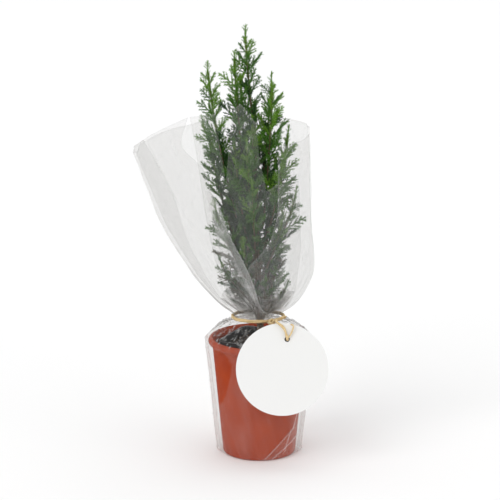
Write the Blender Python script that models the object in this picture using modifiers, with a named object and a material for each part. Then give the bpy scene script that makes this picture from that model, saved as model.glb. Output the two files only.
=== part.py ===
"""A small upright cypress in a terracotta pot, wrapped in clear film with a raffia tie and a round card tag.

Metres, +Z up. The origin is the centre of the pot's flat underside, and -Y is the front, where the tag hangs.
"""

import math
import random

import bpy
import bmesh
from mathutils import Matrix, Vector

MM = 0.001
GAP = 0.35 * MM  # between solids that touch on the real thing
SEED = 41

# Terracotta pot, a turned shape
POT_HEIGHT = 76 * MM
BASE_RADIUS = 23.2 * MM
WALL_TOP_RADIUS = 29.8 * MM
LIP_RADIUS = 32.5 * MM
LIP_ROUND = 2.4 * MM  # radius of the rounded lip's section
POT_WALL = 2.6 * MM
POT_FLOOR = 4 * MM
POT_ROUND = 1.3 * MM  # on its bottom edge and inside its mouth
POT_STEPS = 36

# Square plastic grow pot that stands inside it, and its filling
GROW_TOP_HALF = 20.6 * MM
GROW_BASE_HALF = 13.6 * MM
GROW_CORNER = 5 * MM
GROW_WALL, GROW_FLOOR = 1 * MM, 1.2 * MM
GROW_RIM_Z = 75.6 * MM
GROW_TURN = math.radians(-25.8)
SOIL_Z = 70.5 * MM

# Trunk: foot, bend and tip, and the radii there
TRUNK_PATH = ((1.0, 0.0, 70.85), (0.2, 0.6, 100.0), (-1.2, 0.4, 145.0), (-2.5, 0.0, 196.0))  # millimetres
TRUNK_FOOT_RADIUS = 2.4 * MM
TRUNK_TIP_RADIUS = 0.7 * MM
TRUNK_CLEAR_RADIUS = 1.9 * MM  # kept free round the trunk's line by shoots and sprays
ROOT_FLARE, FLARE_SHARE = 1.45, 0.07  # of the foot's radius, and of the trunk's length

# Tips of the leading shoots that stand apart at the top: side, depth and height in millimetres
LEADING_SHOOTS = {
    "leader": (-9.0, 0.0, 276.0),
    "left_second": (-15.8, -6.0, 261.0),
    "left_outer": (-32.6, -3.0, 253.6),
    "right_inner": (7.6, 6.0, 245.4),
    "right_second": (8.2, -7.0, 241.5),
    "back_second": (-12.0, 12.0, 243.0),
    "left_third": (-31.5, 5.0, 207.0),
    "front_middle": (-8.0, -17.0, 208.0),
}
LEADING_FORKS = (196, 138, 112, 172, 150, 128, 104, 118)  # heights where they leave the trunk, millimetres

# Crown outline: height, then left, right and depth that the lower shoots' tips reach, millimetres
CROWN = (
    (108, -22, 15, 10.5),
    (121, -24, 25, 14.5),
    (139, -30, 27, 18.0),
    (160, -37, 27, 20.5),
    (180, -35, 22, 22.0),
    (200, -37, 19, 21.5),
    (215, -39, 20, 19.0),
    (232, -40, 14, 16.0),
)
SIDE_SHOOTS = 25
INNER_EVERY, INNER_REACH = 3, 0.5  # every third side shoot stays nearer to the trunk
SIDE_LOW, SIDE_HIGH = 110, 228  # tips of the lowest and highest side shoots, millimetres
FORK_LOW, FORK_HIGH = 90, 150  # heights where the side shoots leave the trunk, millimetres
FORK_SHIFT, TIP_SHIFT = 2.3 * MM, 3 * MM  # tried where a shoot would touch another
FORK_TRIES, TIP_TRIES = 24, 3
SHOOT_ROOM = 2.5 * MM  # more between the upper halves of two shoots than between their limbs
FORK_OUT, FORK_UP, FORK_RUN = 0.65, 0.76, 3 * MM  # a shoot's first direction, and how far it keeps it
BEND_LOW, BEND_HIGH = 0.3, 0.35  # of its reach, before it bends and while it straightens
TIP_LEAN = 0.5  # of a shoot's way, against straight up, in its tip
GOLDEN_ANGLE = math.radians(137.5)
FIRST_ANGLE = math.radians(12)

# Boughs and foliage
BOUGH_SHARE = 0.24  # of a long shoot's path is bare limb
BOUGH_FROM = 62 * MM  # a shoot longer than this has one
BOUGH_RADIUS, BOUGH_TIP_RADIUS = 0.95 * MM, 0.7 * MM
TWIG_RADIUS, TWIG_TIP_RADIUS = 1.15 * MM, 0.75 * MM  # needles included
SPRAY_PITCH = 3.4 * MM
SPRAY_ANGLE = math.radians(38)
SPRAY_LONGEST, SPRAY_SHORTEST = 18 * MM, 6 * MM
SPRAY_GROWTH = 0.38  # of its distance below the shoot's tip
SPRAY_WIDTH, SPRAY_THICKNESS = 4.8 * MM, 2.2 * MM
SPRAY_WIDEST = 0.42  # of its length
SPRAY_SLIM = 0.45  # of the full width is left in the very shortest spray
SPRAY_SUNK = 0.6 * MM
SPRAY_CUTS = (1.0, 0.8, 0.62, 0.45, 0.33)  # lengths tried until a spray fits its own space
TWIG_STEP = 8 * MM
CLEAR = 0.3 * MM

# Film wrap above the tie: height, then left, right and depth of its outline, millimetres
WRAP = (
    (88, -13.4, 11.8, 9.0),
    (91.4, -13.7, 12.1, 9.3),
    (97.5, -21.6, 21.0, 14.2),
    (107, -31.0, 28.2, 19.0),
    (120, -41.0, 33.4, 22.5),
    (147, -57.4, 32.3, 26.5),
    (158, -62.3, 31.9, 27.5),
    (195, -76.0, 31.0, 28.5),
    (212, -82.0, 30.3, 28.5),
    (234, -90.0, 29.0, 28.0),
)
FILM = 0.4 * MM
FILM_STEP = 1.0 * MM  # from one layer to the next
TIE_FOOT, TIE_FOOT_RISE = 87.6 * MM, 0.4 * MM  # where the sleeve ends and the sheets begin
TIE_Z = 89.4 * MM
SHEET_COLUMN, SHEET_TURN = 12 * MM, 0.13  # along a top edge, and in radians round the wrap
SHEET_APART = 0.3 * MM  # from the middle to the side edges of the front and back sheets
SHEET_LEVEL = 160 * MM  # below it every sheet has its rows at the same heights
LOW_ROWS, HIGH_ROWS = 8, 4
ROW_BIAS = 1.5  # rows are closer together near the tie

# Edges of the sheets as (height, x), and their tops as (x, height), millimetres
BACK_TOP = ((-76.0, 195), (-58, 205), (-20, 213), (14, 214), (30.2, 212))
MIDDLE_LEFT = ((88, -11), (107, -20), (147, -31), (195, -38), (232, -44))
MIDDLE_RIGHT = ((88, 10), (107, 22), (147, 26), (195, 24), (232, 22))
MIDDLE_TOP = (
    (-43.0, 224.0),
    (-27.4, 226.0),
    (-20.7, 182.0),
    (-16.3, 228.4),
    (-12.0, 232.2),
    (-2.2, 219.7),
    (0.3, 195.8),
    (4.0, 176.8),
    (10.8, 180.0),
    (24.5, 181.0),
)
RIGHT_FLAP_EDGE = (
    (88, -6),
    (110, -9),
    (127.5, -7),
    (138, 1.6),
    (145, 5.7),
    (160, 10.2),
    (171, 10.8),
    (205, 10.7),
)
RIGHT_FLAP_TOP = ((10.7, 204.0), (29.8, 209.0))
LEFT_FLAP_EDGE = (
    (88, 8.2),
    (92, 6.4),
    (99.7, 1.0),
    (116.6, -3.5),
    (132.2, -9.9),
    (150.7, -18.6),
    (170.5, -25.1),
    (177.5, -29.4),
    (192, -34.0),
    (205.6, -46.7),
    (224.2, -43.2),
)
LEFT_FLAP_TOP = ((-76.0, 195.0), (-69.9, 207.8), (-43.3, 224.1))

# Film sleeve round the pot: its sides are pinched flat at left and right
SLEEVE_FOOT_Z = 0.6 * MM
SLEEVE_FOOT_SIDE = 26.9 * MM
SLEEVE_RIM_SIDE = 34.2 * MM
SLEEVE_STEPS = 32
SHOULDER_SWELL = 0.9

# Raffia and card tag
RAFFIA_RADIUS = 0.95 * MM
RAFFIA_STEPS = 30
KNOT_SIDE, KNOT_RADIUS = 7.7 * MM, 1.9 * MM
TAIL_RADIUS = 0.75 * MM
TAIL_CROSSING = -3.5 * MM  # from the tag's middle, where the tail passes over its edge
END_ROUTE = ((0, 0, 0), (2.2, -0.4, 0.9), (4.4, -0.6, 1.6), (6.2, -0.4, 1.9))  # millimetres
TAG_RADIUS = 28.9 * MM
TAG_THICKNESS = 0.6 * MM
TAG_STEPS = 56
TAG_LEAN = math.radians(16.5)
TAG_SIDE = 14.2 * MM
TAG_Z = 65.4 * MM
TAG_HOLE_RADIUS = 1.7 * MM
TAG_HOLE_SIDE, TAG_HOLE_UP = 3.1 * MM, 18.8 * MM


def clear_scene():
    for old in list(bpy.data.objects):
        bpy.data.objects.remove(old)


def material(name, colour, roughness):
    made = bpy.data.materials.new(name)
    made.use_nodes = True
    shader = made.node_tree.nodes["Principled BSDF"]
    shader.inputs["Base Color"].default_value = (*colour, 1)
    shader.inputs["Roughness"].default_value = roughness
    shader.inputs["Metallic"].default_value = 0
    return made


def collection(name):
    made = bpy.data.collections.new(name)
    bpy.context.scene.collection.children.link(made)
    return made


def object_from(bm, name, where, finish):
    mesh = bpy.data.meshes.new(name)
    bmesh.ops.recalc_face_normals(bm, faces=bm.faces)
    bm.to_mesh(mesh)
    bm.free()
    made = bpy.data.objects.new(name, mesh)
    where.objects.link(made)
    mesh.materials.append(finish)
    return made


def smooth(made, degrees=35):
    made.data.shade_smooth()
    made.data.set_sharp_from_angle(angle=math.radians(degrees))


def between(stations, height):
    """The values of a table of stations at this height, in metres, along a smooth curve through them."""
    z = min(max(height / MM, stations[0][0]), stations[-1][0])
    last = len(stations) - 1
    k = max(i for i in range(last) if i == 0 or stations[i][0] <= z)
    before, low, high, after = stations[max(k - 1, 0)], stations[k], stations[k + 1], stations[min(k + 2, last)]
    span = high[0] - low[0]
    t = (z - low[0]) / span
    values = []
    for p, a, b, q in zip(before[1:], low[1:], high[1:], after[1:]):
        slope_a = span * (b - p) / (high[0] - before[0])
        slope_b = span * (q - a) / (after[0] - low[0])
        rise = (2 * t**3 - 3 * t**2 + 1) * a + (t**3 - 2 * t**2 + t) * slope_a
        values.append(MM * (rise + (3 * t**2 - 2 * t**3) * b + (t**3 - t**2) * slope_b))
    return values


def bezier(p0, p1, p2, p3, t):
    s = 1 - t
    return p0 * s**3 + p1 * 3 * s * s * t + p2 * 3 * s * t * t + p3 * t**3


def points_along(path, count):
    """That many points at even distances along a list of points."""
    lengths = [0.0]
    for a, b in zip(path, path[1:]):
        lengths.append(lengths[-1] + (b - a).length)
    made, k = [], 0
    for i in range(count):
        goal = lengths[-1] * i / (count - 1)
        while k < len(path) - 2 and lengths[k + 1] < goal:
            k += 1
        t = (goal - lengths[k]) / (lengths[k + 1] - lengths[k])
        made.append(path[k].lerp(path[k + 1], t))
    return made


def length_of(path):
    return sum((b - a).length for a, b in zip(path, path[1:]))


def distance_to_path(point, path):
    """From a point to a list of points joined by straight lines, and the place along it, 0 to 1."""
    best, place = 1e9, 0.0
    for k, (a, b) in enumerate(zip(path, path[1:])):
        line = b - a
        t = min(1.0, max(0.0, (point - a).dot(line) / line.length_squared))
        d = (point - a - line * t).length
        if d < best:
            best, place = d, (k + t) / (len(path) - 1)
    return best, place


def turned(name, profile, steps, where, finish):
    """A solid of revolution: profile is (radius, height) down its outer side, from axis to axis."""
    mesh = bpy.data.meshes.new(name)
    mesh.from_pydata([(r, 0, z) for r, z in profile], [(i, i + 1) for i in range(len(profile) - 1)], [])
    made = bpy.data.objects.new(name, mesh)
    where.objects.link(made)
    mesh.materials.append(finish)
    screw = made.modifiers.new("Turn", "SCREW")
    screw.steps = screw.render_steps = steps
    screw.use_merge_vertices = True
    screw.merge_threshold = 0.00001
    screw.use_smooth_shade = True
    return made


def rounded_square(half, corner, steps=3):
    """The outline of a square with round corners, anticlockwise."""
    points = []
    for quarter in range(4):
        turn = Matrix.Rotation(quarter * math.pi / 2, 2)
        centre = Vector((half - corner, half - corner))
        for k in range(steps + 1):
            angle = math.pi / 2 * k / steps
            points.append(turn @ (centre + corner * Vector((math.cos(angle), math.sin(angle)))))
    return points


def loft(bm, rings):
    """Joins rings of as many points each, with a face across the first and the last."""
    loops = [[bm.verts.new(p) for p in ring] for ring in rings]
    count = len(rings[0])
    for low, high in zip(loops, loops[1:]):
        for i in range(count):
            j = (i + 1) % count
            bm.faces.new((low[i], low[j], high[j], high[i]))
    bm.faces.new(reversed(loops[0]))
    bm.faces.new(loops[-1])


def arc(radius, z, round_radius, start, end, count):
    """Points of a profile on a small arc round (radius, z), between two angles in degrees."""
    angles = [math.radians(start + (end - start) * k / (count - 1)) for k in range(count)]
    return [(radius + round_radius * math.cos(a), z + round_radius * math.sin(a)) for a in angles]


def terracotta_pot(where, finish):
    """A tapered pot with a rounded lip."""
    mouth = LIP_RADIUS - LIP_ROUND - POT_ROUND
    profile = [
        *arc(LIP_RADIUS - LIP_ROUND, POT_HEIGHT - LIP_ROUND, LIP_ROUND, 90, -60, 6),
        (WALL_TOP_RADIUS, POT_HEIGHT - 2.2 * LIP_ROUND),
        *arc(BASE_RADIUS - POT_ROUND, POT_ROUND, POT_ROUND, 0, -90, 3),
        (0, 0),
        (0, POT_FLOOR),
        (BASE_RADIUS - POT_WALL, POT_FLOOR),
        (mouth - POT_ROUND, POT_HEIGHT - 2 * LIP_ROUND),
        (mouth, POT_HEIGHT - POT_ROUND),
    ]
    turned("pot", profile + profile[:1], POT_STEPS, where, finish)


def grow_ring(z, inset=0.0):
    """The rounded square outline of the grow pot at a height, as far in as asked."""
    foot = POT_FLOOR + GAP
    half = GROW_BASE_HALF + (GROW_TOP_HALF - GROW_BASE_HALF) * (z - foot) / (GROW_RIM_Z - foot)
    turn = Matrix.Rotation(GROW_TURN, 2)
    return [Vector((*(turn @ p), z)) for p in rounded_square(half - inset, GROW_CORNER - inset)]


def grow_pot_and_soil(where, finishes):
    """The plastic pot that stands in the terracotta one, and the compost that fills it."""
    foot = POT_FLOOR + GAP
    floor = foot + GROW_FLOOR
    bm = bmesh.new()
    outside = [grow_ring(foot), grow_ring(GROW_RIM_Z)]
    loft(bm, outside + [grow_ring(GROW_RIM_Z, GROW_WALL), grow_ring(floor, GROW_WALL)])
    object_from(bm, "grow_pot", where, finishes["grow_plastic"])
    bm = bmesh.new()
    loft(bm, [grow_ring(floor + GAP, GROW_WALL + GAP), grow_ring(SOIL_Z, GROW_WALL + GAP)])
    object_from(bm, "soil", where, finishes["soil"])


def tube(name, points, radii, where, finish, resolution=1, cyclic=False):
    """A round limb or strand as a curve with a bevel. radii are in metres, one for each point."""
    data = bpy.data.curves.new(name, "CURVE")
    data.dimensions = "3D"
    data.resolution_u = 1
    data.bevel_depth = radii[0]
    data.bevel_resolution = resolution
    data.use_fill_caps = True
    spline = data.splines.new("POLY")
    spline.points.add(len(points) - 1)
    for place, point, radius in zip(spline.points, points, radii):
        place.co = (*point, 1)
        place.radius = radius / radii[0]
    spline.use_cyclic_u = cyclic
    spline.use_smooth = True
    made = bpy.data.objects.new(name, data)
    where.objects.link(made)
    data.materials.append(finish)
    return made


def trunk_line():
    p = [MM * Vector(v) for v in TRUNK_PATH]
    return [bezier(*p, k / 24) for k in range(25)]


def trunk_radius(place):
    flare = 1 + (ROOT_FLARE - 1) * max(0.0, 1 - place / FLARE_SHARE) ** 2
    return flare * (TRUNK_FOOT_RADIUS + (TRUNK_TIP_RADIUS - TRUNK_FOOT_RADIUS) * place)


def trunk(line, where, finish):
    points = points_along(line, 20)
    points.insert(1, points[0].lerp(points[1], 0.4))
    radii = [trunk_radius(distance_to_path(p, line)[1]) for p in points]
    tube("trunk", points, radii, where, finish, resolution=2)


def shoot_tips():
    """Name, tip and fork height of every shoot, in metres: first the leading shoots, then the side shoots."""
    shoots = []
    for (name, tip), fork in zip(LEADING_SHOOTS.items(), LEADING_FORKS):
        shoots.append((name, MM * Vector(tip), fork * MM))
    for i in range(SIDE_SHOOTS):
        share = (i + 0.5) / SIDE_SHOOTS
        height = MM * (SIDE_LOW + (SIDE_HIGH - SIDE_LOW) * share)
        left, right, depth = between(CROWN, height)
        angle = FIRST_ANGLE + i * GOLDEN_ANGLE
        out = INNER_REACH if i % INNER_EVERY == INNER_EVERY - 1 else 1.0
        centre, reach = (left + right) / 2, out * (right - left) / 2
        tip = Vector((centre + reach * math.cos(angle), out * depth * math.sin(angle), height))
        fork = MM * (FORK_LOW + (FORK_HIGH - FORK_LOW) * share**1.4)
        shoots.append((f"side_{i + 1:02d}", tip, fork))
    return shoots


def shoot_line(tip, fork, line):
    """From the trunk's skin at the fork, up and out, with room left for the last spray below the tip."""
    if fork >= line[-1].z - GAP:
        root = line[-1] + Vector((0, 0, GAP))
        first = (line[-1] - line[-2]).normalized()
    else:
        root = min(line, key=lambda p: abs(p.z - fork))
        side = Vector((tip.x - root.x, tip.y - root.y, 0)).normalized()
        skin = trunk_radius(distance_to_path(root, line)[1])
        first = (side * FORK_OUT + Vector((0, 0, FORK_UP))).normalized()
        root = root + side * (skin + GAP + BOUGH_RADIUS)
    towards = (tip - root).normalized()
    last = (towards * TIP_LEAN + Vector((0, 0, 1 - TIP_LEAN))).normalized()
    end = tip - last * SPRAY_SHORTEST
    reach = (end - root).length
    start = root + first * min(FORK_RUN, reach * 0.1)
    bends = start + towards * reach * BEND_LOW, end - last * reach * BEND_HIGH
    return [root] + [bezier(start, *bends, end, k / 23) for k in range(24)]


def free_shoots(line):
    """The line of every shoot; one that would touch another forks higher or lower, or bends aside."""
    lines = {}
    for name, tip, fork in shoot_tips():
        for attempt in range(FORK_TRIES * TIP_TRIES):
            step, aside = attempt % FORK_TRIES, attempt // FORK_TRIES
            shift = FORK_SHIFT * ((step + 1) // 2) * (-1 if step % 2 else 1)
            place = tip + Vector((0, TIP_SHIFT * aside, 0))
            path = shoot_line(place, max(FORK_LOW * MM, fork + shift), line)
            samples = points_along(path, 60)
            clear = all(distance_to_path(p, line)[0] > TRUNK_CLEAR_RADIUS + BOUGH_RADIUS for p in samples[4:])
            for k, p in enumerate(samples):
                room = 2 * BOUGH_RADIUS + CLEAR + SHOOT_ROOM * min(1.0, 2 * k / len(samples))
                clear = clear and all(distance_to_path(p, other)[0] > room for other in lines.values())
            if name == "leader" or clear:
                lines[name] = path
                break
    return lines


def split_shoot(path, share):
    """A path cut in two, the second starting GAP beyond the end of the first."""
    fine = points_along(path, 121)
    cut = round(share * 120)
    lower, upper = fine[: cut + 1], fine[cut:]
    start = upper[0] + (upper[1] - upper[0]).normalized() * GAP
    rest = [p for p in upper[1:] if (p - upper[0]).length > 2 * GAP]
    return lower, [start, *rest]


def blade(length, width, thickness):
    """A spray of needles as a slim eight-faced blade along +Z, its root a little below the origin."""
    bm = bmesh.new()
    bmesh.ops.create_uvsphere(bm, u_segments=4, v_segments=2, radius=1)
    total = length + SPRAY_SUNK
    for v in bm.verts:
        top = v.co.z > 0.5
        waist = abs(v.co.z) < 0.5
        v.co.x *= width / 2
        v.co.y *= thickness / 2
        v.co.z = length if top else (SPRAY_WIDEST * total - SPRAY_SUNK if waist else -SPRAY_SUNK)
    return bm


def twig(path):
    """A three-sided tapering twig along a path."""
    bm = bmesh.new()
    points = points_along(path, max(4, round(length_of(path) / TWIG_STEP) + 1))
    rings = []
    side = Vector((1, 0, 0))
    for k, point in enumerate(points):
        ahead = (points[min(k + 1, len(points) - 1)] - points[max(k - 1, 0)]).normalized()
        side = (side - ahead * side.dot(ahead)).normalized()
        other = ahead.cross(side)
        place = k / (len(points) - 1)
        radius = TWIG_RADIUS + (TWIG_TIP_RADIUS - TWIG_RADIUS) * place
        turns = [2 * math.pi * n / 3 for n in range(3)]
        rings.append([point + radius * (side * math.cos(a) + other * math.sin(a)) for a in turns])
    loft(bm, rings)
    return bm


def in_own_space(samples, own, others, limbs):
    """True if a spray lies nearer to its own twig than to any other, clear of each limb and the film."""
    for p, half in samples:
        mine = distance_to_path(p, own)[0] + 2 * half + CLEAR
        if any(distance_to_path(p, other)[0] < mine for other in others):
            return False
        if any(distance_to_path(p, limb)[0] < radius + half + CLEAR for limb, radius in limbs):
            return False
        if not inside_wrap(p, half + CLEAR + FILM):
            return False
    return True


def inside_wrap(point, room):
    """True if the point is that far inside the film, or above it."""
    if point.z > MM * WRAP[-1][0]:
        return True
    left, right, depth = between(WRAP, point.z)
    across = (point.x - (left + right) / 2) / ((right - left) / 2 - room)
    return across**2 + (point.y / (depth - room)) ** 2 < 1


def sprays_on(path, rng, fits):
    """Start, direction, length and width of each spray on a shoot, spiralling up it, the ones that fit."""
    total = length_of(path)
    steps = int((total - SPRAY_SHORTEST) / SPRAY_PITCH)
    points = points_along(path, steps + 1)
    angle = rng.uniform(0, 2 * math.pi)
    found = []
    for k in range(1, steps + 1):
        point = points[k]
        ahead = (point - points[k - 1]).normalized()
        across = ahead.orthogonal().normalized()
        out = Matrix.Rotation(angle, 3, ahead) @ across
        angle += GOLDEN_ANGLE
        below_tip = total * (1 - k / steps)
        length = min(SPRAY_LONGEST, SPRAY_SHORTEST + SPRAY_GROWTH * below_tip) * rng.uniform(0.85, 1.1)
        lean = SPRAY_ANGLE * rng.uniform(0.85, 1.15)
        if k == steps:
            lean, length = 0.0, SPRAY_SHORTEST
        direction = (ahead * math.cos(lean) + out * math.sin(lean)).normalized()
        for shorter in SPRAY_CUTS:
            width = SPRAY_WIDTH * (SPRAY_SLIM + (1 - SPRAY_SLIM) * length * shorter / SPRAY_LONGEST)
            samples = []
            for share in (SPRAY_WIDEST, 0.6, 0.8, 1.0):
                half = width / 2 * (1 - share) / (1 - SPRAY_WIDEST)
                samples.append((point + direction * length * shorter * share, half))
            if fits(samples):
                found.append((point, direction, length * shorter, width))
                break
    return found


def foliage_mass(name, path, rng, fits, where, finish):
    """One mass of foliage: a twig with sprays fused on by a Boolean union."""
    stem = object_from(twig(path), name, where, finish)
    pieces = collection(name + "_sprays")
    for point, direction, length, width in sprays_on(path, rng, fits):
        spray = blade(length, width, SPRAY_THICKNESS * width / SPRAY_WIDTH)
        turn = direction.to_track_quat("Z", "Y").to_matrix().to_4x4()
        bmesh.ops.transform(spray, matrix=Matrix.Translation(point) @ turn, verts=spray.verts)
        object_from(spray, name + "_spray", pieces, finish)
    union = stem.modifiers.new("Fuse", "BOOLEAN")
    union.operation = "UNION"
    union.operand_type = "COLLECTION"
    union.collection = pieces
    union.solver = "MANIFOLD"
    fused = bpy.data.meshes.new_from_object(stem.evaluated_get(bpy.context.evaluated_depsgraph_get()))
    stem.modifiers.clear()
    stem.data = fused
    for spray in list(pieces.objects):
        bpy.data.objects.remove(spray)
    bpy.data.collections.remove(pieces)


def plant(where, finishes):
    """Trunk, boughs and masses of foliage."""
    line = trunk_line()
    trunk(line, where, finishes["bark"])
    twigs, boughs = {}, {}
    for name, path in free_shoots(line).items():
        if name != "leader" and length_of(path) > BOUGH_FROM:
            boughs[name], twigs[name] = split_shoot(path, BOUGH_SHARE)
        else:
            twigs[name] = path
    limbs = [(line, TRUNK_CLEAR_RADIUS)] + [(path, BOUGH_RADIUS) for path in boughs.values()]
    for name, path in boughs.items():
        points = points_along(path, 7)
        radii = [BOUGH_RADIUS + (BOUGH_TIP_RADIUS - BOUGH_RADIUS) * k / 6 for k in range(7)]
        tube("bough_" + name, points, radii, where, finishes["bark"])
    for number, (name, path) in enumerate(twigs.items()):
        others = [other for key, other in twigs.items() if key != name]

        def fits(samples, own=path, others=others):
            return in_own_space(samples, own, others, limbs)

        foliage_mass("foliage_" + name, path, random.Random(SEED + number), fits, where, finishes["foliage"])


def wrap_turn(x, height):
    """The angle round the gathered film, from its right side, of a place on it."""
    left, right, _ = between(WRAP, height)
    return math.acos(min(1.0, max(-1.0, (2 * x - left - right) / (right - left))))


def wrap_point(turn, height, side, layer):
    """A point of the gathered film: side is -1 for the front sheets and 1 for the back sheet."""
    left, right, depth = between(WRAP, height)
    offset = layer * FILM_STEP
    x = (left + right) / 2 + ((right - left) / 2 + offset) * math.cos(turn)
    return Vector((x, side * ((depth + offset) * math.sin(turn) + SHEET_APART), height))


def film_shell(bm, name, where, finish):
    shell = object_from(bm, name, where, finish).modifiers.new("Film", "SOLIDIFY")
    shell.thickness = FILM
    shell.offset = 0


def film_sheet(name, left_edge, right_edge, top, side, layer, where, finish):
    """One sheet of film as a thin shell. Edges are (height, x), the top is (x, height), millimetres."""
    foot = TIE_FOOT + TIE_FOOT_RISE + GAP
    columns = []
    for start, end in zip(top, top[1:]):
        (x0, z0), (x1, z1) = [(x * MM, z * MM) for x, z in (start, end)]
        turn0, turn1 = wrap_turn(x0, z0), wrap_turn(x1, z1)
        steps = max(math.hypot(x1 - x0, z1 - z0) / SHEET_COLUMN, abs(turn1 - turn0) / SHEET_TURN)
        steps = max(1, round(steps))
        for k in range(steps + (end == top[-1])):
            columns.append((turn0 + (turn1 - turn0) * k / steps, z0 + (z1 - z0) * k / steps))
    bm = bmesh.new()
    grid = []
    for turn, z in columns:
        low, high = [wrap_turn(between(edge, z)[0], z) for edge in (left_edge, right_edge)]
        share = min(1.0, max(0.0, (turn - low) / (high - low)))
        line = []
        heights = [foot + (SHEET_LEVEL - foot) * (j / LOW_ROWS) ** ROW_BIAS for j in range(LOW_ROWS)]
        heights += [SHEET_LEVEL + (z - SHEET_LEVEL) * j / HIGH_ROWS for j in range(HIGH_ROWS + 1)]
        for height in heights:
            low, high = [wrap_turn(between(edge, height)[0], height) for edge in (left_edge, right_edge)]
            line.append(bm.verts.new(wrap_point(low + (high - low) * share, height, side, layer)))
        grid.append(line)
    for left, right in zip(grid, grid[1:]):
        for j in range(LOW_ROWS + HIGH_ROWS):
            bm.faces.new((left[j], right[j], right[j + 1], left[j + 1]))
    film_shell(bm, name, where, finish)


def sleeve_point(angle, radius, side, z):
    """A circle with both sides drawn out to pinched edges, seen from above."""
    tangent = math.acos(min(1.0, radius / side))
    from_side = math.acos(abs(math.cos(angle)))
    reach = radius / math.cos(max(0.0, tangent - from_side))
    return Vector((reach * math.cos(angle), reach * math.sin(angle), z))


def film_sleeve(where, finish):
    """The film round the pot, drawn in over the rim to the tie."""
    left, right, depth = between(WRAP, TIE_FOOT)
    angles = [2 * math.pi * i / SLEEVE_STEPS for i in range(SLEEVE_STEPS)]
    room = GAP + FILM / 2
    lip_foot = POT_HEIGHT - 2 * LIP_ROUND
    rings = []
    for z in (SLEEVE_FOOT_Z, lip_foot * 0.5, lip_foot - 3 * MM):
        wall = BASE_RADIUS + (LIP_RADIUS - BASE_RADIUS) * z / lip_foot
        side = SLEEVE_FOOT_SIDE + (SLEEVE_RIM_SIDE - SLEEVE_FOOT_SIDE) * z / POT_HEIGHT
        rings.append([sleeve_point(a, wall + room, side, z) for a in angles])
    for z in (lip_foot + 0.5 * MM, POT_HEIGHT - 0.5 * MM):
        rings.append([sleeve_point(a, LIP_RADIUS + room, SLEEVE_RIM_SIDE, z) for a in angles])
    rim_z = POT_HEIGHT + room
    rim = [sleeve_point(a, LIP_RADIUS - 0.4 * MM, SLEEVE_RIM_SIDE - 0.8 * MM, rim_z) for a in angles]
    centre, half = (left + right) / 2, (right - left) / 2
    neck = [Vector((centre + half * math.cos(a), depth * math.sin(a), TIE_FOOT)) for a in angles]
    for t in (0.0, 0.25, 0.5, 0.75, 1.0):
        ring = []
        for a, outer, inner in zip(angles, rim, neck):
            point = outer.lerp(inner, t)
            point.z = rim_z + (TIE_FOOT - rim_z) * (t + SHOULDER_SWELL * t * (1 - t) * math.cos(a) ** 2)
            ring.append(point)
        rings.append(ring)
    rings.append([p + Vector((0, 0, TIE_FOOT_RISE)) for p in neck])
    bm = bmesh.new()
    loops = [[bm.verts.new(p) for p in ring] for ring in rings]
    for low, high in zip(loops, loops[1:]):
        for i in range(SLEEVE_STEPS):
            j = (i + 1) % SLEEVE_STEPS
            bm.faces.new((low[i], low[j], high[j], high[i]))
    film_shell(bm, "film_sleeve", where, finish)


def wrap(where, finishes):
    """The film: a sleeve below the tie and four sheets that open above it."""
    film = finishes["film"]
    film_sleeve(where, film)
    wrap_left = [(row[0], row[1]) for row in WRAP]
    wrap_right = [(row[0], row[2]) for row in WRAP]
    film_sheet("film_back", wrap_left, wrap_right, BACK_TOP, 1, 0.5, where, film)
    film_sheet("film_middle", MIDDLE_LEFT, MIDDLE_RIGHT, MIDDLE_TOP, -1, 0, where, film)
    film_sheet("film_right_flap", RIGHT_FLAP_EDGE, wrap_right, RIGHT_FLAP_TOP, -1, 1, where, film)
    film_sheet("film_left_flap", wrap_left, LEFT_FLAP_EDGE, LEFT_FLAP_TOP, -1, 2, where, film)


def tag_frame():
    """The tag's centre and its directions across, up and out of its face."""
    up = Vector((0, math.sin(TAG_LEAN), math.cos(TAG_LEAN)))
    front = Vector((0, -math.cos(TAG_LEAN), math.sin(TAG_LEAN)))
    rest_y = -(LIP_RADIUS + 2 * GAP + FILM + TAG_THICKNESS / 2 / math.cos(TAG_LEAN))
    centre = Vector((TAG_SIDE, rest_y - (POT_HEIGHT - TAG_Z) * math.tan(TAG_LEAN), TAG_Z))
    return centre, Vector((1, 0, 0)), up, front


def disc(radius, thickness, steps, matrix):
    bm = bmesh.new()
    bmesh.ops.create_cone(bm, cap_ends=True, segments=steps, radius1=radius, radius2=radius, depth=thickness)
    bmesh.ops.transform(bm, matrix=matrix, verts=bm.verts)
    return bm


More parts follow.
